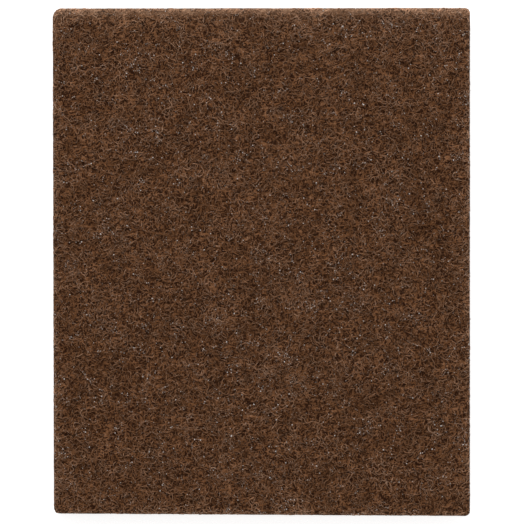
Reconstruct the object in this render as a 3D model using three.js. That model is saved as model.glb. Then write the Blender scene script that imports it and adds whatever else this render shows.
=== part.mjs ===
// A polishing pad cut from lofty nonwoven felt: crimped fibres, bonded with resin and abrasive grain
// into one springy slab. Both faces and all four cut sides show the open web, so the high fibres of a
// face lie in one plane and irregular hollows sink in between them.
// Units are millimetres. The pad lies flat with Z up, and the origin is the middle of its underside,
// in the plane that it rests on.

import * as THREE from "three";
import { ImprovedNoise } from "three/addons/math/ImprovedNoise.js";
import { mergeVertices } from "three/addons/utils/BufferGeometryUtils.js";

// The cut blank
const padWidth = 115; // X, across the far end
const padLength = 140; // Y, along the right side
const padThickness = 8; // Z, from the high fibres of one face to those of the other

// The cutter ran slightly out of square along the left side
const nearEdgeRise = 0.7; // the near edge ends this much further up on the left
const farEdgeDrop = 0.15; // the far edge ends this much further down on the left
const leftEdgeLean = 0.35; // the left edge leans in by this much at its near end

// Rounding of the cut outline, and of the rims of both faces
const farLeftRadius = 2.7;
const farRightRadius = 1.4;
const nearRightRadius = 1.5;
const nearLeftRadius = 1.7;
const rimRadius = 0.9; // where the cutter pressed the fibres down as it went in

// The open web
const webPitch = 2.9; // between neighbouring crossings of the fibre bundles
const webStray = 0.5; // how far a crossing strays from an even grid
const faceHollowDepth = 1.2; // of the deepest hollow in a face, below the high fibres
const sideHollowDepth = 0.25; // the same on the cut sides, where the knife left them nearly straight
const webLumps = [
  { size: 15, strength: 0.45 }, // dense and thin patches
  { size: 4.3, strength: 1 }, // tufts with hollows between them
  { size: 2.3, strength: 0.8 }, // single bundles of crimped fibre
];
const hollowOnset = 0.12; // lifts or lowers the web against its high fibres, as a share of a hollow
const hollowSteepness = 1.5; // how soon a hollow gets to its full depth
const sideLayers = 3; // rows of bundles down a cut side
const rimRows = [0, 0.3, 1]; // where the rim's rows of crossings lie, as shares of rimRadius
const webSeed = 41; // picks one web out of the many that these sizes can give

const perlin = new ImprovedNoise();
const { clamp, lerp, seededRandom, smoothstep } = THREE.MathUtils;

const webMaterial = new THREE.MeshStandardMaterial({
  name: "brown_fibre_web",
  color: 0x50372a,
  roughness: 0.92,
  metalness: 0,
  flatShading: true,
});

// The rows of crossings along one direction of the blank: close together over the rolled rims,
// and about webPitch apart between them
function crossingRows(length) {
  const between = length - 2 * rimRadius;
  const spans = Math.max(2, Math.round(between / webPitch));
  const rim = rimRows.map((share) => share * rimRadius);
  const inner = Array.from({ length: spans - 1 }, (_, n) => rimRadius + ((n + 1) * between) / spans);
  const otherRim = rim.map((row) => length - row).reverse();
  return [...rim, ...inner, ...otherRim].map((row) => row - length / 2);
}

// A crossing strays from its place in the grid, but not over a rim
function strayed(x, y) {
  const nearestEdge = Math.min(padWidth / 2 - Math.abs(x), padLength / 2 - Math.abs(y));
  const reach = webStray * smoothstep(nearestEdge, rimRadius, rimRadius + webPitch);
  return [x + reach * (2 * seededRandom() - 1), y + reach * (2 * seededRandom() - 1)];
}

// The upright corner radius of the quarter of the outline that a point is in
function cornerRadiusAt(x, y) {
  if (y > 0) return x > 0 ? farRightRadius : farLeftRadius;
  return x > 0 ? nearRightRadius : nearLeftRadius;
}

// Draws the square corners of the blank in to round ones. It returns the point's new place, its
// distance in from the outline, and the direction that faces out of the outline there.
function roundedOutline(x, y) {
  const radius = cornerRadiusAt(x, y);
  const pastX = Math.max(0, Math.abs(x) - (padWidth / 2 - radius));
  const pastY = Math.max(0, Math.abs(y) - (padLength / 2 - radius));
  const insetX = padWidth / 2 - Math.abs(x);
  const insetY = padLength / 2 - Math.abs(y);
  const outward = new THREE.Vector2(insetX <= insetY ? 1 : 0, insetX <= insetY ? 0 : 1);
  let drawnIn = 1;
  if (pastX > 0 && pastY > 0) {
    outward.set(pastX, pastY).normalize();
    drawnIn = Math.max(pastX, pastY) / Math.hypot(pastX, pastY);
  }
  return {
    x: Math.sign(x) * (Math.abs(x) - pastX * (1 - drawnIn)),
    y: Math.sign(y) * (Math.abs(y) - pastY * (1 - drawnIn)),
    inset: Math.min(insetX, insetY),
    outward: outward.multiply(new THREE.Vector2(Math.sign(x), Math.sign(y))),
  };
}

// How deep the web lies below its high fibres at a point of the blank
function hollowAt(point, overRim) {
  const lumps = webLumps.map(({ size, strength }) => {
    const { x, y, z } = point.clone().divideScalar(size);
    return strength * perlin.noise(x, y, z);
  });
  const sunk = hollowOnset + hollowSteepness * lumps.reduce((sum, lump) => sum + lump, 0);
  return lerp(faceHollowDepth, sideHollowDepth, overRim) * clamp(sunk, 0, 1);
}

// Moves a finished point as the slightly crooked cut does, most at the near left corner
function cutOutOfSquare(point) {
  const toLeft = 0.5 - point.x / padWidth;
  const toNear = 0.5 - point.y / padLength;
  point.x += leftEdgeLean * toLeft * toNear;
  point.y += toLeft * (nearEdgeRise * toNear - farEdgeDrop * (1 - toNear));
}

// Cuts every patch of the grid along its shorter diagonal, so that no direction of the web stands out
// and no triangle gets needlessly narrow. A patch is six numbers in the index: two triangles that
// share the diagonal from the patch's second point to its fourth.
function cutAlongShorterDiagonals(skin) {
  const corners = skin.getAttribute("position");
  const index = skin.getIndex();
  const pointAt = (n) => new THREE.Vector3().fromBufferAttribute(corners, n);
  for (let first = 0; first < index.count; first += 6) {
    const [a, b, d, , c] = index.array.slice(first, first + 6);
    if (pointAt(a).distanceTo(pointAt(c)) < pointAt(b).distanceTo(pointAt(d))) {
      index.array.set([a, b, c, a, c, d], first);
    }
  }
}

// One closed skin round the blank, grown from a gridded box whose points are moved to the web's form
function makePadGeometry() {
  const columns = crossingRows(padWidth);
  const rows = crossingRows(padLength);
  const box = new THREE.BoxGeometry(2, 2, 2, columns.length - 1, rows.length - 1, sideLayers);
  box.deleteAttribute("normal");
  box.deleteAttribute("uv");
  const skin = mergeVertices(box);
  const corners = skin.getAttribute("position");
  const indexOf = (share, spans) => Math.round(((share + 1) / 2) * spans);
  const point = new THREE.Vector3();
  const facing = new THREE.Vector3();

  seededRandom(webSeed);
  for (let n = 0; n < corners.count; n++) {
    const column = columns[indexOf(corners.getX(n), columns.length - 1)];
    const row = rows[indexOf(corners.getY(n), rows.length - 1)];
    const layer = indexOf(corners.getZ(n), sideLayers);
    const plan = roundedOutline(...strayed(column, row));

    // The rims of the two faces roll over to the cut side
    const overRim = Math.max(0, rimRadius - plan.inset) / rimRadius;
    const rimDrop = rimRadius * (1 - Math.sqrt(1 - overRim ** 2));
    const onUnderside = layer === 0;
    const onTop = layer === sideLayers;
    let height = lerp(rimRadius, padThickness - rimRadius, layer / sideLayers);
    if (onUnderside) height = rimDrop;
    if (onTop) height = padThickness - rimDrop;

    point.set(plan.x, plan.y, height);
    facing.set(plan.outward.x * overRim, plan.outward.y * overRim, 0);
    facing.z = Math.sqrt(1 - overRim ** 2) * (Number(onTop) - Number(onUnderside));
    point.addScaledVector(facing, -hollowAt(point, overRim));
    cutOutOfSquare(point);
    corners.setXYZ(n, point.x, point.y, point.z);
  }
  cutAlongShorterDiagonals(skin);
  skin.computeVertexNormals();
  return skin;
}

const feltPad = new THREE.Mesh(makePadGeometry(), webMaterial);
feltPad.name = "felt_pad";

const polishingPad = new THREE.Group();
polishingPad.name = "polishing_felt_pad";
polishingPad.add(feltPad);

export default polishingPad;
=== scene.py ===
import math

import bpy
import numpy as np
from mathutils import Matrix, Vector, noise


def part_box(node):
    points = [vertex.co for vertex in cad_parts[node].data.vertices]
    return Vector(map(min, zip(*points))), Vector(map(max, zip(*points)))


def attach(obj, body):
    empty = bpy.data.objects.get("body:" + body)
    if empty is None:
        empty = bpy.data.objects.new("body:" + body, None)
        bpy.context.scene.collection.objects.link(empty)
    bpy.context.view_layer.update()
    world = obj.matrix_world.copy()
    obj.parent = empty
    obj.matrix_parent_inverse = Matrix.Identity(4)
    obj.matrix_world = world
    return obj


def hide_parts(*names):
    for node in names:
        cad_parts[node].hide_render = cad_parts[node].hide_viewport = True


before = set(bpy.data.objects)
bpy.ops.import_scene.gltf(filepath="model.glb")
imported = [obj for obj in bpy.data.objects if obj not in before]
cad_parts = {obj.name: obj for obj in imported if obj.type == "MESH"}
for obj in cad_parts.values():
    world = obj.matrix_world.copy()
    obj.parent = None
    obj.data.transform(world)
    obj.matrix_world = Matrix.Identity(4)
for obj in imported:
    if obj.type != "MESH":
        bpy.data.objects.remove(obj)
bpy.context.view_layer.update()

# A polishing pad of lofty felt: crimped brown fibres, bonded into a springy slab and set with pale
# grains. Metres, Z up. The pad lies flat. Photo left is -X and photo top is +Y.
mm = 0.001
tiny = 1e-12  # takes the place of zero in a division
padLow, padHigh = (np.array(corner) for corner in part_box("felt_pad"))
padHalf = (padHigh - padLow) / 2
padThickness = padHigh[2] - padLow[2]

# How the pad is cut, as in the solid model
padCut = {
    "farLeftRadius": 2.7 * mm,
    "farRightRadius": 1.4 * mm,
    "nearRightRadius": 1.5 * mm,
    "nearLeftRadius": 1.7 * mm,
    "rimRadius": 0.9 * mm,  # both faces roll over to the cut sides
    "nearEdgeRise": 0.7 * mm,  # the near edge ends this much further up on the left
    "farEdgeDrop": 0.15 * mm,  # the far edge ends this much further down on the left
    "leftEdgeLean": 0.35 * mm,  # the left edge leans in by this much at its near end
}


def cornerRadius(x, y):
    far = np.where(x > 0, padCut["farRightRadius"], padCut["farLeftRadius"])
    near = np.where(x > 0, padCut["nearRightRadius"], padCut["nearLeftRadius"])
    return np.where(y > 0, far, near)


def insetAt(x, y):
    # how far a place lies inside the cut outline; negative outside it
    radius = cornerRadius(x, y)
    pastX = np.abs(x) - padHalf[0] + radius
    pastY = np.abs(y) - padHalf[1] + radius
    outside = np.hypot(np.maximum(pastX, 0), np.maximum(pastY, 0))
    return radius - outside - np.minimum(np.maximum(pastX, pastY), 0)


def rimDrop(inset):
    # how far the rolled rim lies below the flat face
    rim = padCut["rimRadius"]
    over = np.clip(1 - inset / rim, 0, 1)
    return rim * (1 - np.sqrt(1 - over**2))


def cutOutOfSquare(points):
    toLeft = 0.5 - points[:, 0] / (2 * padHalf[0])
    toNear = 0.5 - points[:, 1] / (2 * padHalf[1])
    moved = points.copy()
    moved[:, 0] += padCut["leftEdgeLean"] * toLeft * toNear
    moved[:, 1] += padCut["nearEdgeRise"] * toLeft * toNear
    moved[:, 1] -= padCut["farEdgeDrop"] * toLeft * (1 - toNear)
    return moved


def unevenField(rng, size, waves=28, lengths=(0.6, 1.6)):
    # a smooth random field over the plan, made of waves in all directions; its standard deviation is 1
    turn = rng.uniform(0, 2 * math.pi, waves)
    length = size * rng.uniform(*lengths, waves)
    alongX = 2 * math.pi * np.cos(turn) / length
    alongY = 2 * math.pi * np.sin(turn) / length
    phase = rng.uniform(0, 2 * math.pi, waves)

    def field(x, y):
        total = np.zeros_like(x)
        for wave in range(waves):
            total += np.sin(alongX[wave] * x + alongY[wave] * y + phase[wave])
        return total / math.sqrt(waves / 2)

    return field


# Shader nodes
noiseSpan = (0.3, 0.7)  # nearly all values of a noise texture lie between these


def newGroup(name, inputs, outputs):
    # a shader group with its sockets; each input is name, kind and value
    tree = bpy.data.node_groups.new(name, "ShaderNodeTree")
    for label, kind, value in inputs:
        socket = tree.interface.new_socket(label, in_out="INPUT", socket_type=kind)
        if value is not None:
            socket.default_value = value
    for label, kind in outputs:
        tree.interface.new_socket(label, in_out="OUTPUT", socket_type=kind)
    return tree, tree.nodes.new("NodeGroupInput"), tree.nodes.new("NodeGroupOutput")


def groupNode(tree, group, place):
    made = tree.nodes.new("ShaderNodeGroup")
    made.node_tree = group
    tree.links.new(place, made.inputs["Vector"])
    return made


def mathNode(tree, operation, first, second, clamp=False):
    made = tree.nodes.new("ShaderNodeMath")
    made.operation = operation
    made.use_clamp = clamp
    for socket, value in zip(made.inputs, (first, second)):
        if isinstance(value, (int, float)):
            socket.default_value = value
        else:
            tree.links.new(value, socket)
    return made.outputs[0]


def mapNode(tree, value, fromRange, toRange=(0, 1), smooth=True):
    made = tree.nodes.new("ShaderNodeMapRange")
    made.interpolation_type = "SMOOTHSTEP" if smooth else "LINEAR"
    tree.links.new(value, made.inputs["Value"])
    for label, number in zip(("From Min", "From Max", "To Min", "To Max"), (*fromRange, *toRange)):
        made.inputs[label].default_value = number
    return made.outputs["Result"]


def multiplyBy(tree, value, mask, fromRange, toRange, smooth=True):
    # a value times what the mask's range maps to
    return mathNode(tree, "MULTIPLY", value, mapNode(tree, mask, fromRange, toRange, smooth))


def noiseNode(tree, vector, size, detail, output="Fac"):
    made = tree.nodes.new("ShaderNodeTexNoise")
    made.inputs["Scale"].default_value = 1 / size
    made.inputs["Detail"].default_value = detail
    tree.links.new(vector, made.inputs["Vector"])
    return made.outputs[output]


def cellsNode(tree, vector, size):
    # a random value for each small cell, and the distance from the cell's middle
    made = tree.nodes.new("ShaderNodeTexVoronoi")
    made.inputs["Scale"].default_value = 1 / size
    tree.links.new(vector, made.inputs["Vector"])
    parts = tree.nodes.new("ShaderNodeSeparateColor")
    tree.links.new(made.outputs["Color"], parts.inputs[0])
    return parts.outputs[0], made.outputs["Distance"]


def mixNode(tree, factor, first, second):
    # a mix of two colours; a tuple is a plain colour
    made = tree.nodes.new("ShaderNodeMix")
    made.data_type = "RGBA"
    given = (("Factor", "VALUE", factor), ("A", "RGBA", first), ("B", "RGBA", second))
    for label, kind, value in given:
        socket = next(s for s in made.inputs if s.name == label and s.type == kind)
        if isinstance(value, tuple):
            socket.default_value = (*value, 1)
        else:
            tree.links.new(value, socket)
    return next(s for s in made.outputs if s.type == "RGBA")


def attributeNode(tree, name):
    made = tree.nodes.new("ShaderNodeAttribute")
    made.attribute_name = name
    return made.outputs["Fac"]


# Camera straight above the pad
photo = {
    "side": 524,  # pixels, both ways
    "pixel": 114.7 * mm / 417.5,  # what a pixel covers at the rim of the pad's top face
    "padMiddle": (261.3, 262.0),  # of the pad in the frame, from its top left
    "lens": 110,
    "sensor": 36,
}


def makeCamera():
    data = bpy.data.cameras.new("camera")
    data.lens = photo["lens"]
    data.sensor_width = photo["sensor"]
    camera = bpy.data.objects.new("camera", data)
    bpy.context.scene.collection.objects.link(camera)
    away = photo["side"] * photo["pixel"] * photo["lens"] / photo["sensor"]
    middle = photo["side"] / 2
    camera.location = (
        (middle - photo["padMiddle"][0]) * photo["pixel"],
        (photo["padMiddle"][1] - middle) * photo["pixel"],
        padThickness - padCut["rimRadius"] / 2 + away,
    )
    bpy.context.scene.camera = camera
    print("camera", round(away / mm), "mm above the top face")


makeCamera()

# Studio: a white table, a soft key light beyond the far edge and a weaker one on the near side
studio = {
    "worldLevel": 0.5,
    "keyPower": 9.6,
    "keySize": 0.53,
    "keyPlace": (-0.16, 1.04, 0.64),
    "fillPower": 1.6,
    "fillSize": 0.9,
    "fillPlace": (0.35, -0.55, 0.75),
    "tableColour": (0.9, 0.9, 0.9, 1),
    "tableGlow": 0.55,  # lifts the table to white for the camera, and leaves a faint shadow
    "tableSize": 6,
    "tableGap": 0.02 * mm,  # keeps the table clear of the underside
}


def makeSoftLight(name, place, size, power):
    data = bpy.data.lights.new(name, "AREA")
    data.shape = "SQUARE"
    data.size = size
    data.energy = power
    light = bpy.data.objects.new(name, data)
    light.location = place
    light.rotation_euler = (-Vector(place)).to_track_quat("-Z", "Y").to_euler()
    bpy.context.scene.collection.objects.link(light)


def makeStudio():
    world = bpy.data.worlds.new("studio")
    bpy.context.scene.world = world
    world.use_nodes = True
    tree = world.node_tree
    background = tree.nodes["Background"]
    background.inputs["Color"].default_value = (1, 1, 1, 1)
    # white behind the table, softer as a lamp
    level = mapNode(tree, seenDirectly(tree), (0, 1), (studio["worldLevel"], 1), smooth=False)
    tree.links.new(level, background.inputs["Strength"])

    makeSoftLight("keyLight", studio["keyPlace"], studio["keySize"], studio["keyPower"])
    makeSoftLight("fillLight", studio["fillPlace"], studio["fillSize"], studio["fillPower"])

    half = studio["tableSize"] / 2
    corners = [(-half, -half, 0), (half, -half, 0), (half, half, 0), (-half, half, 0)]
    mesh = bpy.data.meshes.new("table")
    mesh.from_pydata(corners, [], [(0, 1, 2, 3)])
    table = bpy.data.objects.new("table", mesh)
    table.location.z = padLow[2] - studio["tableGap"]
    bpy.context.scene.collection.objects.link(table)
    mesh.materials.append(makeTableMaterial())
    print("studio and table made")


def seenDirectly(tree):
    # 1 for what the camera sees, also in a reflection or through something clear
    rays = tree.nodes.new("ShaderNodeLightPath")
    glossy, clear = rays.outputs["Is Glossy Ray"], rays.outputs["Is Transmission Ray"]
    either = mathNode(tree, "MAXIMUM", glossy, clear)
    return mathNode(tree, "MAXIMUM", rays.outputs["Is Camera Ray"], either)


def makeTableMaterial():
    material = bpy.data.materials.new("table_white")
    material.use_nodes = True
    tree = material.node_tree
    tree.nodes.clear()
    diffuse = tree.nodes.new("ShaderNodeBsdfDiffuse")
    diffuse.inputs["Color"].default_value = studio["tableColour"]
    glow = tree.nodes.new("ShaderNodeEmission")
    both = tree.nodes.new("ShaderNodeAddShader")
    output = tree.nodes.new("ShaderNodeOutputMaterial")
    strength = mathNode(tree, "MULTIPLY", seenDirectly(tree), studio["tableGlow"])
    tree.links.new(strength, glow.inputs["Strength"])
    tree.links.new(diffuse.outputs[0], both.inputs[0])
    tree.links.new(glow.outputs[0], both.inputs[1])
    tree.links.new(both.outputs[0], output.inputs["Surface"])
    return material


bpy.context.scene.view_settings.view_transform = "Standard"
makeStudio()

# Strand colour: warm and grey brown, with light and dark at several sizes, part of it painted shade of
# tufts, hollows and small gaps, and fine dust.
# A Size is how wide a change is, a Span the part of its pattern that counts, and a Light what the
# strand's light is multiplied by at the two ends of that span.
strandTone = {
    "warm": (0.237, 0.0965, 0.036),
    "grey": (0.206, 0.117, 0.0705),
    "lightSpan": (0.45, 1.55),  # from dark to light strands,
    "lightGrey": (-0.55, 0.55),  # which are this much less and more grey
    "cloudSize": 9 * mm,
    "cloudSpan": (0.35, 0.65),
    "cloudLight": (0.93, 1.07),
    "patchSize": 3.2 * mm,
    "patchLight": (0.78, 1.22),
    "patchGrey": (-0.12, 0.12),
    "mottleSize": 0.9 * mm,
    "mottleLight": (0.86, 1.14),
    "beadSize": 0.38 * mm,  # light and dark along a fibre
    "beadLight": (0.85, 1.15),
    "gritSize": 0.3 * mm,
    "gritLight": (0.78, 1.22),
    "pitSize": 1.1 * mm,  # painted shade of small gaps that look deep into the web
    "pitSpan": (0.58, 0.72),
    "pitLight": (1.04, 0.4),
    "dust": (0.38, 0.30, 0.25),
    "dustSize": 0.16 * mm,
    "dustSpan": (0.4, 0.62),  # from clouds with little dust to clouds with all of it
    "dustShare": (0.35, 1),
    "dustRound": (0.25, 0.5),  # from the middle of a speck to its rim, in cells
}


def makeStrandToneGroup():
    tree, start, end = newGroup(
        "strandTone",
        [
            ("Vector", "NodeSocketVector", None),
            ("Grey", "NodeSocketFloat", 0.5),
            ("Shade", "NodeSocketFloat", 1.0),
            ("Dust", "NodeSocketFloat", 0.5),
        ],
        [("Colour", "NodeSocketColor"), ("Grain", "NodeSocketFloat")],
    )
    place = start.outputs["Vector"]
    cloud = noiseNode(tree, place, strandTone["cloudSize"], detail=1)
    patch = noiseNode(tree, place, strandTone["patchSize"], detail=2)
    mottle = noiseNode(tree, place, strandTone["mottleSize"], detail=3)
    beads = noiseNode(tree, place, strandTone["beadSize"], detail=1)
    pits = noiseNode(tree, place, strandTone["pitSize"], detail=1)
    grit, _ = cellsNode(tree, place, strandTone["gritSize"])

    # The fine light and dark comes first, because the greyness follows it
    light = multiplyBy(tree, start.outputs["Shade"], mottle, noiseSpan, strandTone["mottleLight"])
    light = multiplyBy(tree, light, beads, noiseSpan, strandTone["beadLight"])
    light = multiplyBy(tree, light, grit, (0, 1), strandTone["gritLight"], smooth=False)
    byPatch = mapNode(tree, patch, noiseSpan, strandTone["patchGrey"])
    byLight = mapNode(tree, light, strandTone["lightSpan"], strandTone["lightGrey"], smooth=False)
    greyness = mathNode(tree, "ADD", start.outputs["Grey"], byPatch)
    greyness = mathNode(tree, "ADD", greyness, byLight, clamp=True)
    base = mixNode(tree, greyness, strandTone["warm"], strandTone["grey"])

    # The rest changes the light but not the hue
    # patch and cloud light is painted shade and light of tufts and hollows
    light = multiplyBy(tree, light, patch, noiseSpan, strandTone["patchLight"])
    light = multiplyBy(tree, light, cloud, strandTone["cloudSpan"], strandTone["cloudLight"])
    # painted shade of small gaps deep in the web
    light = multiplyBy(tree, light, pits, strandTone["pitSpan"], strandTone["pitLight"])
    scaled = tree.nodes.new("ShaderNodeVectorMath")
    scaled.operation = "SCALE"
    tree.links.new(base, scaled.inputs[0])
    tree.links.new(light, scaled.inputs["Scale"])

    # Dust is a round speck in some of the smallest cells
    chance, fromMiddle = cellsNode(tree, place, strandTone["dustSize"])
    dust = start.outputs["Dust"]
    dusty = multiplyBy(tree, dust, cloud, strandTone["dustSpan"], strandTone["dustShare"])
    chosen = mathNode(tree, "LESS_THAN", chance, dusty)
    speck = multiplyBy(tree, chosen, fromMiddle, strandTone["dustRound"], (1, 0))
    colour = mixNode(tree, speck, scaled.outputs[0], strandTone["dust"])
    tree.links.new(colour, end.inputs["Colour"])
    tree.links.new(speck, end.inputs["Grain"])
    return tree


# Fibres that are too deep to model, drawn as short bent strokes in many directions
# Painted shade: the gaps between the strokes are painted near black and the strokes darker than the
# fibres above, for the shade deep in the web
deepWeb = {
    "gapShade": (0.023, 0.0072, 0.0023),
    "strokeLength": 2.4 * mm,
    "strokeWidth": 0.42 * mm,
    "strokeSpan": (0.555, 0.74),  # from a gap to the middle of a stroke
    "bendSize": 1.6 * mm,
    "bend": 1.1 * mm,
    "directions": 6,
    "tilt": 0.45,  # turns two of every three directions out of the face
    "apart": (0.037, 0.019, 0.011),  # takes each direction's pattern from another place
    "fading": 0.06,  # painted shade: each direction is this much darker than the one before, as if it lay deeper
    "shade": 0.74,
    "grey": 0.4,
    "dust": 0.1,
    "closedRim": 0.65,  # how far the painted dark gaps are closed where the rims are painted lighter
    "closedSpan": (1.1, 2.0),  # shades between which they close
    "roughness": (0.95, 0.8),  # in a gap and on a stroke
    "bump": 0.2 * mm,
    "gloss": 0.08,
}


def makeDeepStrokesGroup():
    tree, start, end = newGroup(
        "deepStrokes",
        [("Vector", "NodeSocketVector", None)],
        [("Strokes", "NodeSocketFloat")],
    )
    place = start.outputs["Vector"]
    bend = noiseNode(tree, place, deepWeb["bendSize"], detail=0.5, output="Color")
    bent = tree.nodes.new("ShaderNodeVectorMath")
    bent.operation = "MULTIPLY_ADD"
    bent.inputs[1].default_value = [deepWeb["bend"]] * 3
    tree.links.new(bend, bent.inputs[0])
    tree.links.new(place, bent.inputs[2])
    length, width = deepWeb["strokeLength"], deepWeb["strokeWidth"]
    strokes = None
    for n in range(deepWeb["directions"]):
        turn = math.pi * n / deepWeb["directions"]
        along = tree.nodes.new("ShaderNodeMapping")
        along.vector_type = "TEXTURE"
        along.inputs["Location"].default_value = [apart * n for apart in deepWeb["apart"]]
        along.inputs["Rotation"].default_value = (0, deepWeb["tilt"] * (n % 3), turn)
        along.inputs["Scale"].default_value = (length, width, width)
        tree.links.new(bent.outputs[0], along.inputs["Vector"])
        field = noiseNode(tree, along.outputs[0], 1, detail=0)
        line = mapNode(tree, field, deepWeb["strokeSpan"], (0, 1 - deepWeb["fading"] * n))
        strokes = line if strokes is None else mathNode(tree, "MAXIMUM", strokes, line)
    tree.links.new(strokes, end.inputs["Strokes"])
    return tree


def startMaterial(name):
    material = bpy.data.materials.new(name)
    material.use_nodes = True
    tree = material.node_tree
    place = tree.nodes.new("ShaderNodeTexCoord").outputs["Object"]
    return material, tree, tree.nodes["Principled BSDF"], place


def finishMaterial(tree, shader, colour, roughness, height, bumpHeight):
    bump = tree.nodes.new("ShaderNodeBump")
    bump.inputs["Distance"].default_value = bumpHeight
    tree.links.new(height, bump.inputs["Height"])
    tree.links.new(bump.outputs["Normal"], shader.inputs["Normal"])
    tree.links.new(colour, shader.inputs["Base Color"])
    tree.links.new(roughness, shader.inputs["Roughness"])


fibreFinish = {
    "dust": 0.36,
    "roughness": (0.78, 0.5),  # of a strand and of a speck of dust on it
    "bump": 0.04 * mm,
    "gloss": 0.12,
}


def makeFibreMaterial(toneGroup):
    material, tree, shader, place = startMaterial("crimped_fibre")
    tone = groupNode(tree, toneGroup, place)
    tone.inputs["Dust"].default_value = fibreFinish["dust"]
    tree.links.new(attributeNode(tree, "greyness"), tone.inputs["Grey"])
    tree.links.new(attributeNode(tree, "shade"), tone.inputs["Shade"])
    colour, speck = tone.outputs["Colour"], tone.outputs["Grain"]
    rough = mapNode(tree, speck, (0, 1), fibreFinish["roughness"])
    finishMaterial(tree, shader, colour, rough, speck, fibreFinish["bump"])
    shader.inputs["Specular IOR Level"].default_value = fibreFinish["gloss"]
    return material


def makeDeepWebMaterial(toneGroup, strokesGroup):
    material, tree, shader, place = startMaterial("deep_web")
    strokes = groupNode(tree, strokesGroup, place).outputs["Strokes"]
    tone = groupNode(tree, toneGroup, place)
    tone.inputs["Grey"].default_value = deepWeb["grey"]
    tone.inputs["Dust"].default_value = deepWeb["dust"]
    # the body's shade holds its painted rim light; times the deep shade, the strokes are painted
    # darker than the fibres as painted shade of depth
    rimLightShade = attributeNode(tree, "shade")
    tree.links.new(mathNode(tree, "MULTIPLY", rimLightShade, deepWeb["shade"]), tone.inputs["Shade"])
    closed = mapNode(tree, rimLightShade, deepWeb["closedSpan"], (0, deepWeb["closedRim"]))
    drawn = mathNode(tree, "MAXIMUM", strokes, closed)
    colour = mixNode(tree, drawn, deepWeb["gapShade"], tone.outputs["Colour"])
    rough = mapNode(tree, drawn, (0, 1), deepWeb["roughness"])
    finishMaterial(tree, shader, colour, rough, strokes, deepWeb["bump"])
    shader.inputs["Specular IOR Level"].default_value = deepWeb["gloss"]
    return material


grainFinish = {
    "resin": (0.2, 0.145, 0.11),  # of grains that resin covers
    "dull": (0.48, 0.42, 0.38),
    "pale": (0.84, 0.79, 0.76),
    "mottleSize": 0.5 * mm,
    "fineSize": 0.1 * mm,
    "roughness": (0.25, 0.5),
    "bump": 0.02 * mm,
}


def makeGrainMaterial():
    material, tree, shader, place = startMaterial("abrasive_grain")
    mottle = noiseNode(tree, place, grainFinish["mottleSize"], detail=2)
    mottle = mapNode(tree, mottle, noiseSpan)
    clean = mixNode(tree, mottle, grainFinish["dull"], grainFinish["pale"])
    colour = mixNode(tree, attributeNode(tree, "shade"), grainFinish["resin"], clean)
    fine = noiseNode(tree, place, grainFinish["fineSize"], detail=1)
    rough = mapNode(tree, fine, noiseSpan, grainFinish["roughness"])
    finishMaterial(tree, shader, colour, rough, fine, grainFinish["bump"])
    return material


toneGroup = makeStrandToneGroup()
fibreMaterial = makeFibreMaterial(toneGroup)
deepWebMaterial = makeDeepWebMaterial(toneGroup, makeDeepStrokesGroup())
grainMaterial = makeGrainMaterial()
print("materials made")


def addPiece(name, mesh, material):
    piece = bpy.data.objects.new(name, mesh)
    bpy.context.scene.collection.objects.link(piece)
    mesh.materials.append(material)
    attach(piece, "root")
    return piece


def addPointValues(mesh, name, values):
    layer = mesh.attributes.new(name, "FLOAT", "POINT")
    layer.data.foreach_set("value", np.asarray(values, np.float32))


# Painted light: the web is painted lighter along the cut edges, where the rolled rims and cut fibre
# ends catch the light, and most along the far edge, which faces the key light
paintedRimLight = {
    "allRound": 1.7,
    "allRoundReach": 0.95 * mm,
    "farRim": 2.15,
    "farRimReach": 1.2 * mm,
    "farSide": 0.6,
    "farSideReach": 4 * mm,
    "most": 2.7,  # where these add up, the shade goes no higher
}


def paintedRimLightAt(x, y, z):
    fromRim = np.maximum(insetAt(x, y), 0) + np.minimum(z, padThickness - z)
    fromFarRim = np.maximum(padHalf[1] - y, 0) + padThickness - z
    shade = 1 + paintedRimLight["allRound"] * np.exp(-fromRim / paintedRimLight["allRoundReach"])
    shade += paintedRimLight["farRim"] * np.exp(-fromFarRim / paintedRimLight["farRimReach"])
    shade += paintedRimLight["farSide"] * np.exp(-fromFarRim / paintedRimLight["farSideReach"])
    return np.minimum(shade, paintedRimLight["most"])


# The body of the web below the modelled fibres
webCore = {
    "cell": 1.2 * mm,
    "layers": 6,
    "belowFace": 0.75 * mm,
    "belowRim": 0.15 * mm,
    "rimWidth": 1.6 * mm,  # over which the body comes up to the rim
    "behindCut": 0.1 * mm,
    "lumpSize": 1.9 * mm,
    "lumpHeight": 0.3 * mm,
    "sideLumps": 0.25,  # share of the lump height that is left at the rims and the cut sides
}


def boxSkin(counts):
    # lattice places on the skin of a box, and the outward quads between them
    index = np.full([count + 1 for count in counts], -1)
    place = np.indices(index.shape)
    onSkin = np.zeros(index.shape, bool)
    for axis, count in enumerate(counts):
        onSkin |= (place[axis] == 0) | (place[axis] == count)
    index[onSkin] = np.arange(onSkin.sum())
    quads = []
    for axis, count in enumerate(counts):
        for end in (0, count):
            sheet = np.take(index, end, axis=axis)
            quad = np.stack([sheet[:-1, :-1], sheet[1:, :-1], sheet[1:, 1:], sheet[:-1, 1:]], -1)
            quad = quad.reshape(-1, 4)
            quads.append(quad[:, ::-1] if (end == 0) != (axis == 1) else quad)
    return np.argwhere(onSkin), np.concatenate(quads)


def drawCornersIn(x, y, half):
    # moves the square corners of the lattice in to round ones
    radius = cornerRadius(x, y)
    pastX = np.maximum(np.abs(x) - (half[0] - radius), 0)
    pastY = np.maximum(np.abs(y) - (half[1] - radius), 0)
    inCorner = (pastX > 0) & (pastY > 0)
    onRound = np.maximum(pastX, pastY) / np.maximum(np.hypot(pastX, pastY), tiny)
    keep = np.where(inCorner, onRound, 1)
    drawnX = np.sign(x) * (np.abs(x) - pastX * (1 - keep))
    drawnY = np.sign(y) * (np.abs(y) - pastY * (1 - keep))
    return drawnX, drawnY


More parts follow.
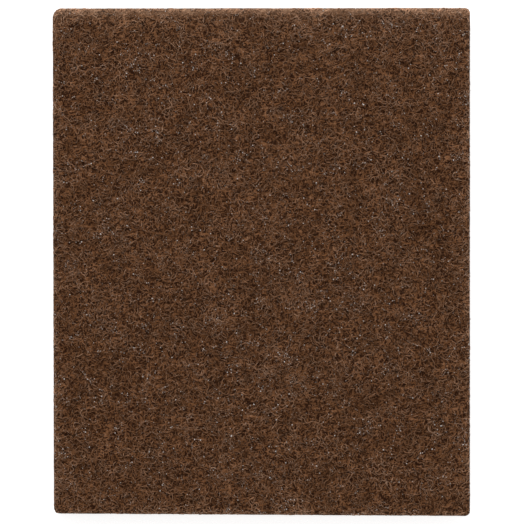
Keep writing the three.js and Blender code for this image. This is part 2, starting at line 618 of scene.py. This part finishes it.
def makeWebCore():
    half = padHalf[:2] - webCore["behindCut"]
    counts = [*(round(2 * side / webCore["cell"]) for side in half), webCore["layers"]]
    lattice, quads = boxSkin(counts)
    share = lattice / np.array(counts)
    x, y = drawCornersIn((2 * share[:, 0] - 1) * half[0], (2 * share[:, 1] - 1) * half[1], half)
    inset = insetAt(x, y) - webCore["behindCut"]
    below = np.interp(inset, (0, webCore["rimWidth"]), (webCore["belowRim"], webCore["belowFace"]))
    below += rimDrop(inset)
    z = below + share[:, 2] * (padThickness - 2 * below)
    onFace = (lattice[:, 2] == 0) | (lattice[:, 2] == counts[2])
    # painted light along the rims of the body
    rimLightShade = paintedRimLightAt(x, y, z)
    points = cutOutOfSquare(np.stack([x, y, z], -1))
    mesh = bpy.data.meshes.new("felt_body")
    mesh.from_pydata(points.tolist(), [], quads.tolist())
    normals = np.array([vertex.normal for vertex in mesh.vertices])
    # tufts and hollows
    lumps = np.array([noise.noise(Vector(point) / webCore["lumpSize"]) for point in points])
    onFlat = onFace & (inset > webCore["rimWidth"])
    height = webCore["lumpHeight"] * np.where(onFlat, 1, webCore["sideLumps"])
    points += normals * (lumps * height)[:, None]
    mesh.vertices.foreach_set("co", points.ravel())
    mesh.polygons.foreach_set("use_smooth", np.ones(len(mesh.polygons), bool))
    addPointValues(mesh, "shade", rimLightShade)
    core = addPiece("felt_body", mesh, deepWebMaterial)
    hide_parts("felt_pad")
    print("felt body", len(quads) * 2, "triangles")


makeWebCore()

# Crimped fibres
crimp = {
    "stepLength": 0.56 * mm,
    "thickness": 0.195 * mm,
    "thicknessSpread": 0.25,
    "lumpiness": 0.18,  # resin along a fibre
    "swing": (0.6 / mm, 1.8 / mm),  # sharpest turn of each crimp wave
    "waveLength": (1.8 * mm, 4.5 * mm),
    "drift": 0.9 / mm,  # random turning between the waves
    "sway": (0.18 * mm, 0.5 * mm),  # up and down, over and under others
    "swayLength": (2.2 * mm, 4.5 * mm),
    "grey": 0.5,
    "greySpread": 0.1,
    "greyClouds": 0.05,
    "greyCloudSize": 8 * mm,
    "shadeSpread": 0.1,
    # painted shade: fibres deeper in the web are painted darker, by these factors over this span of
    # depth
    "depthSpan": (0.05 * mm, 0.9 * mm),  # from the face to the deep web
    "shadeByDepth": (1.05, 0.77),
    "fewestSteps": 3,  # of a piece of fibre that the cut leaves
    "bakeCells": 110,  # steps of fibre side by side on the bake map
    "bakeGap": 0.1,  # between neighbours on the bake map, in cells
}


def walkFibres(rng, starts, steps):
    # plan places and sways of fibres that wander from their starts
    count = len(starts)
    path = np.arange(steps) * crimp["stepLength"]

    def each(low, high):
        return rng.uniform(low, high, (count, 1))

    def wave(low, high):
        return 2 * math.pi * path / each(low, high) + each(0, 2 * math.pi)

    drift = rng.normal(0, 1, (count, steps + 2))
    drift = (drift[:, 2:] + drift[:, 1:-1] + drift[:, :-2]) / math.sqrt(3)  # over three steps
    turn = each(*crimp["swing"]) * np.sin(wave(*crimp["waveLength"]))
    turn = (turn + crimp["drift"] * drift) * crimp["stepLength"]
    heading = each(0, 2 * math.pi) + np.cumsum(turn, axis=1)
    plan = np.stack([np.cos(heading), np.sin(heading)], -1) * crimp["stepLength"]
    plan = starts[:, None] + np.cumsum(plan, axis=1)
    sway = each(*crimp["sway"]) * (1 + np.sin(wave(*crimp["swayLength"])))
    return plan, sway


def fibreLooks(rng, count, steps):
    # radius, greyness and shade at each step of each fibre
    spread = np.exp(crimp["thicknessSpread"] * rng.normal(0, 1, (count, 1)))
    radius = crimp["thickness"] / 2 * spread
    radius = radius * np.exp(crimp["lumpiness"] * rng.normal(0, 1, (count, steps)))
    grey = crimp["grey"] + crimp["greySpread"] * rng.normal(0, 1, (count, 1)) * np.ones(steps)
    shade = np.exp(crimp["shadeSpread"] * rng.normal(0, 1, (count, 1))) * np.ones(steps)
    return radius, grey, shade


# painted shade, darker with depth
def deeperShade(depth):
    return np.interp(depth, crimp["depthSpan"], crimp["shadeByDepth"])


def insideRuns(inside):
    # stretches of each fibre that stay inside, as fibre and slice of steps
    for fibre in range(len(inside)):
        edges = np.flatnonzero(np.diff(np.concatenate([[0], inside[fibre].astype(int), [0]])))
        for first, last in zip(edges[::2], edges[1::2]):
            if last - first >= crimp["fewestSteps"]:
                yield fibre, slice(first, last)


def unit(vectors):
    return vectors / np.maximum(np.linalg.norm(vectors, axis=-1, keepdims=True), tiny)


def bakeStrips(lengths):
    # each strand's strip on the bake map: its first cell and its row, and how many rows there are
    firstCell, rows = [], []
    row, cursor = 0, 0
    for length in lengths:
        if cursor + length > crimp["bakeCells"]:
            row, cursor = row + 1, 0
        firstCell.append(cursor)
        rows.append(row)
        cursor += length
    return np.array(firstCell), np.array(rows), row + 1


def makeTubes(name, strands, rng):
    # closed three-sided tubes round strands; a strand is points, ups, radii, greyness and shade
    points, ups, radii, greyness, shade = (np.concatenate(values) for values in zip(*strands))
    lengths = [len(s[0]) for s in strands]
    strandOf = np.repeat(np.arange(len(strands)), lengths)
    joined = strandOf[1:] == strandOf[:-1]
    here = np.flatnonzero(joined)
    after = np.arange(len(points))
    after[here] += 1
    before = np.arange(len(points))
    before[here + 1] -= 1
    along = unit(points[after] - points[before])
    side = unit(np.cross(along, ups))
    over = np.cross(side, along)
    twist = rng.uniform(0, 2 * math.pi, len(strands))[strandOf]
    rings = []
    for k in range(3):
        angle = (twist + 2 * math.pi * k / 3)[:, None]
        rings.append(points + radii[:, None] * (side * np.cos(angle) + over * np.sin(angle)))
    corners = cutOutOfSquare(np.stack(rings, 1).reshape(-1, 3))

    quads = []
    for k in range(3):
        own, neighbour = 3 * here + k, 3 * here + (k + 1) % 3
        quads.append(np.stack([own, own + 3, neighbour + 3, neighbour], -1))
    quads = np.concatenate(quads)
    starts = np.flatnonzero(before == np.arange(len(points)))
    ends = np.flatnonzero(after == np.arange(len(points)))
    caps = np.concatenate([
        3 * starts[:, None] + np.array([0, 1, 2]),
        3 * ends[:, None] + np.array([2, 1, 0]),
    ])
    mesh = bpy.data.meshes.new(name)
    mesh.from_pydata(corners.tolist(), [], quads.tolist() + caps.tolist())
    mesh.polygons.foreach_set("use_smooth", np.ones(len(mesh.polygons), bool))
    addPointValues(mesh, "greyness", np.repeat(greyness, 3))
    # shade holds tone that differs at random, with painted shade deeper in the web and painted light
    # along the rims
    addPointValues(mesh, "shade", np.repeat(shade, 3))

    # A bake map with the fibres as straight strips, three cells high
    firstCell, row, rows = bakeStrips(lengths)
    step = np.arange(len(points)) - starts[strandOf]
    u = (firstCell[strandOf] + step + 0.5) / crimp["bakeCells"]
    v = row[strandOf] / rows
    gap = crimp["bakeGap"]
    uv = []
    for k in range(3):
        low, high = v[here] + (k + gap) / 3 / rows, v[here] + (k + 1 - gap) / 3 / rows
        left, right = u[here], u[here + 1]
        uv.append(np.stack([left, low, right, low, right, high, left, high], -1))
    capWide, capHigh = (0.5 - gap) / crimp["bakeCells"], (1 - gap) / rows
    for tips, way in ((starts, -1), (ends, 1)):
        edge = u[tips] + way * gap / 2 / crimp["bakeCells"]
        low = v[tips]
        uv.append(np.stack([edge, low, edge + way * capWide, low, edge, low + capHigh], -1))
    uv = np.concatenate([part.ravel() for part in uv]).astype(np.float32)
    mesh.uv_layers.new(name="OFBake").data.foreach_set("uv", uv)
    addPiece(name, mesh, fibreMaterial)
    print(name, len(quads) * 2 + len(caps), "triangles")
    return points, ups, radii


# The fibres of the two faces
faceWeb = {
    "topPieces": 3,
    "topFibres": 1640,  # in each piece
    "underPieces": 2,
    "underFibres": 1150,
    "steps": 22,
    "depth": 0.4 * mm,
    "depthLean": 1.3,  # above 1, more of the fibres lie high than deep
    "hollowSize": 4.2 * mm,
    "hollowDepth": 0.25 * mm,
    "margin": 8 * mm,  # fibres start this far outside, so that the web is as dense at the cut
    "cutInset": 0.6,  # a fibre is cut off where it comes this near the outline, in its own radii
}


def faceStrands(rng, count, hollows, greyClouds, onTop):
    half = padHalf[:2] + faceWeb["margin"]
    plan, sway = walkFibres(rng, rng.uniform(-half, half, (count, 2)), faceWeb["steps"])
    radius, grey, shade = fibreLooks(rng, count, faceWeb["steps"])
    ownDepth = faceWeb["depth"] * rng.uniform(0, 1, (count, 1)) ** faceWeb["depthLean"]
    x, y = plan[..., 0], plan[..., 1]
    inset = insetAt(x, y)
    below = ownDepth + sway + faceWeb["hollowDepth"] * np.maximum(hollows(x, y), 0)
    below += radius + rimDrop(inset - radius)
    z = padThickness - below if onTop else below
    # painted shade deeper in the web and painted light along the rims
    shade = shade * deeperShade(ownDepth + sway) * paintedRimLightAt(x, y, z)
    grey = np.clip(grey + crimp["greyClouds"] * greyClouds(x, y), 0, 1)
    strands = []
    for part in insideRuns(inset > faceWeb["cutInset"] * radius):
        points = np.stack([x[part], y[part], z[part]], -1)
        ups = np.tile([0.0, 0.0, 1.0], (len(points), 1))
        strands.append((points, ups, radius[part], grey[part], shade[part]))
    return strands


# The fibres of the four cut sides, some of them cut through
sideWeb = {
    "fibres": 2300,
    "steps": 16,
    "depth": 0.3 * mm,
    "sway": 0.5,  # share of a fibre's sway that is left on the sides
    "cutProud": 0.15 * mm,  # a fibre that would stand out further is cut through
    "margin": 4 * mm,
}


def outlineStretches():
    # the straight and round stretches of the cut outline, anticlockwise: the length of each, its
    # start or centre, its heading and its radius
    stretches = []
    quarter = math.pi / 2
    signs = ((1, -1), (1, 1), (-1, 1), (-1, -1))
    radii = [float(cornerRadius(sx, sy)) for sx, sy in signs]
    for n, (sx, sy) in enumerate(signs):
        before = radii[n - 1]
        side = 2 * (padHalf[0] if n % 2 == 0 else padHalf[1]) - before - radii[n]
        heading = n * quarter
        centre = np.array([sx * (padHalf[0] - radii[n]), sy * (padHalf[1] - radii[n])])
        forward = np.array([math.cos(heading), math.sin(heading)])
        outward = np.array([math.sin(heading), -math.cos(heading)])
        stretches.append((side, centre + outward * radii[n] - forward * side, heading, 0))
        stretches.append((quarter * radii[n], centre, heading, radii[n]))
    return stretches


def onOutline(u):
    # the place and the outward direction at a distance u round the outline, and its whole length
    stretches = outlineStretches()
    bounds = np.cumsum([0] + [s[0] for s in stretches])
    u = np.mod(u, bounds[-1])
    which = np.clip(np.searchsorted(bounds, u, side="right") - 1, 0, len(stretches) - 1)
    start = np.array([s[1] for s in stretches])[which]
    heading = np.array([s[2] for s in stretches])[which]
    radius = np.array([s[3] for s in stretches])[which]
    run = u - bounds[which]
    straight = radius == 0
    heading = heading + np.where(straight, 0, run / np.where(straight, 1, radius))
    outward = np.stack([np.sin(heading), -np.cos(heading)], -1)
    forward = np.stack([np.cos(heading), np.sin(heading)], -1)
    fromStart, fromCentre = forward * run[..., None], outward * radius[..., None]
    place = start + np.where(straight[..., None], fromStart, fromCentre)
    return place, outward, bounds[-1]


def sideStrands(rng, greyClouds):
    around = onOutline(np.zeros(1))[2]
    count, steps = sideWeb["fibres"], sideWeb["steps"]
    low, high = -sideWeb["margin"], padThickness + sideWeb["margin"]
    starts = np.stack([rng.uniform(0, around, count), rng.uniform(low, high, count)], -1)
    plan, sway = walkFibres(rng, starts, steps)
    radius, grey, shade = fibreLooks(rng, count, steps)
    depth = sideWeb["depth"] * rng.uniform(-1, 1, (count, 1)) + sideWeb["sway"] * sway
    place, outward, _ = onOutline(plan[..., 0])
    z = plan[..., 1]
    toFace = np.minimum(z, padThickness - z)
    inset = np.maximum(depth, 0) + radius + rimDrop(toFace - radius)
    xy = place - outward * inset[..., None]
    # painted shade deeper in the side and painted light along the rims
    shade = shade * deeperShade(depth) * paintedRimLightAt(xy[..., 0], xy[..., 1], z)
    grey = np.clip(grey + crimp["greyClouds"] * greyClouds(xy[..., 0], xy[..., 1]), 0, 1)
    strands = []
    for part in insideRuns((toFace > radius) & (depth > -sideWeb["cutProud"])):
        points = np.concatenate([xy[part], z[part][:, None]], -1)
        ups = np.concatenate([outward[part], np.zeros((len(points), 1))], -1)
        strands.append((points, ups, radius[part], grey[part], shade[part]))
    return strands


# Abrasive grains, small pale crystals bonded to the fibres in loose clusters
grains = {
    "top": 10500,
    "under": 4000,
    "sides": 1500,
    "size": 0.225 * mm,
    "sizeSpread": 0.48,
    "tips": (0.6, 1.3),  # how far the tips of a grain reach, in its half size
    "paleLean": 1.5,  # above 1, more of the grains are covered in resin
    "aside": 0.7,  # how far they stray from the outer side of a fibre
    "seat": 1.1,  # how far their middles lie from the middle of a fibre, in its radii
    "cloudSize": 6 * mm,
    "clustering": 0.9,
    "together": 3,  # grains in a cluster
    "clusterSteps": 5,  # along a fibre
}


def grainPlaces(rng, tubes, count, clouds):
    # places on the outer side of the fibres, near each other in clusters
    points, ups, radii = (np.concatenate([tube[n] for tube in tubes]) for n in range(3))
    likely = np.exp(grains["clustering"] * clouds(points[:, 0], points[:, 1]))
    clusters = count // grains["together"]
    chosen = rng.choice(len(points), clusters, replace=False, p=likely / likely.sum())
    along = rng.integers(0, grains["clusterSteps"], clusters * grains["together"])
    chosen = (np.repeat(chosen, grains["together"]) + along) % len(points)
    aside = rng.normal(0, grains["aside"], (len(chosen), 3)) + ups[chosen]
    places = points[chosen] + unit(aside) * radii[chosen][:, None] * grains["seat"]
    return places[insetAt(places[:, 0], places[:, 1]) > grains["size"] / 3]


def randomTurns(rng, count):
    # rotation matrices from random quaternions
    w, x, y, z = unit(rng.normal(0, 1, (count, 4))).T
    return np.stack([
        np.stack([1 - 2 * (y * y + z * z), 2 * (x * y - w * z), 2 * (x * z + w * y)], -1),
        np.stack([2 * (x * y + w * z), 1 - 2 * (x * x + z * z), 2 * (y * z - w * x)], -1),
        np.stack([2 * (x * z - w * y), 2 * (y * z + w * x), 1 - 2 * (x * x + y * y)], -1),
    ], 1)


def makeGrains(rng, places):
    count = len(places)
    tips = np.array([[1, 0, 0], [-1, 0, 0], [0, 1, 0], [0, -1, 0], [0, 0, 1], [0, 0, -1]])
    upper = [[0, 2, 4], [2, 1, 4], [1, 3, 4], [3, 0, 4]]
    lower = [[2, 0, 5], [1, 2, 5], [3, 1, 5], [0, 3, 5]]
    faces = np.array(upper + lower)
    size = grains["size"] / 2 * np.exp(grains["sizeSpread"] * rng.normal(0, 1, count))
    size = np.minimum(size, grains["size"])
    shape = tips * rng.uniform(*grains["tips"], (count, len(tips), 1)) * size[:, None, None]
    corners = places[:, None] + np.einsum("nij,nkj->nki", randomTurns(rng, count), shape)
    corners = cutOutOfSquare(corners.reshape(-1, 3))
    corners[:, 2] = np.clip(corners[:, 2], padLow[2], padHigh[2])
    triangles = faces + np.arange(count)[:, None, None] * len(tips)
    mesh = bpy.data.meshes.new("abrasive_grains")
    mesh.from_pydata(corners.tolist(), [], triangles.reshape(-1, 3).tolist())
    paleness = rng.uniform(0, 1, count) ** grains["paleLean"]
    addPointValues(mesh, "shade", np.repeat(paleness, len(tips)))

    # On the bake map every grain has one small cell, shared by its faces
    across = math.ceil(math.sqrt(count))
    cell = np.stack([np.arange(count) % across, np.arange(count) // across], -1)
    near, far = crimp["bakeGap"], 1 - crimp["bakeGap"]
    patch = np.array([[near, near], [far, near], [near, far]])
    uv = (cell[:, None, None] + np.tile(patch, (len(faces), 1, 1))) / across
    mesh.uv_layers.new(name="OFBake").data.foreach_set("uv", uv.ravel().astype(np.float32))
    addPiece("abrasive_grains", mesh, grainMaterial)
    print("abrasive_grains", count * len(faces), "triangles")


webSeed = 3  # picks one web out of the many that these values can give


def makeWeb():
    rng = np.random.default_rng(webSeed)
    hollows = unevenField(rng, faceWeb["hollowSize"])
    greyClouds = unevenField(rng, crimp["greyCloudSize"])
    grainClouds = unevenField(rng, grains["cloudSize"])
    top, under = [], []
    for number in range(faceWeb["topPieces"]):
        strands = faceStrands(rng, faceWeb["topFibres"], hollows, greyClouds, True)
        top.append(makeTubes(f"top_fibres_{number + 1}", strands, rng))
    for number in range(faceWeb["underPieces"]):
        strands = faceStrands(rng, faceWeb["underFibres"], hollows, greyClouds, False)
        points, ups, radii = makeTubes(f"under_fibres_{number + 1}", strands, rng)
        under.append((points, -ups, radii))
    sides = [makeTubes("side_fibres", sideStrands(rng, greyClouds), rng)]
    makeGrains(rng, np.concatenate([
        grainPlaces(rng, top, grains["top"], grainClouds),
        grainPlaces(rng, under, grains["under"], grainClouds),
        grainPlaces(rng, sides, grains["sides"], grainClouds),
    ]))


makeWeb()
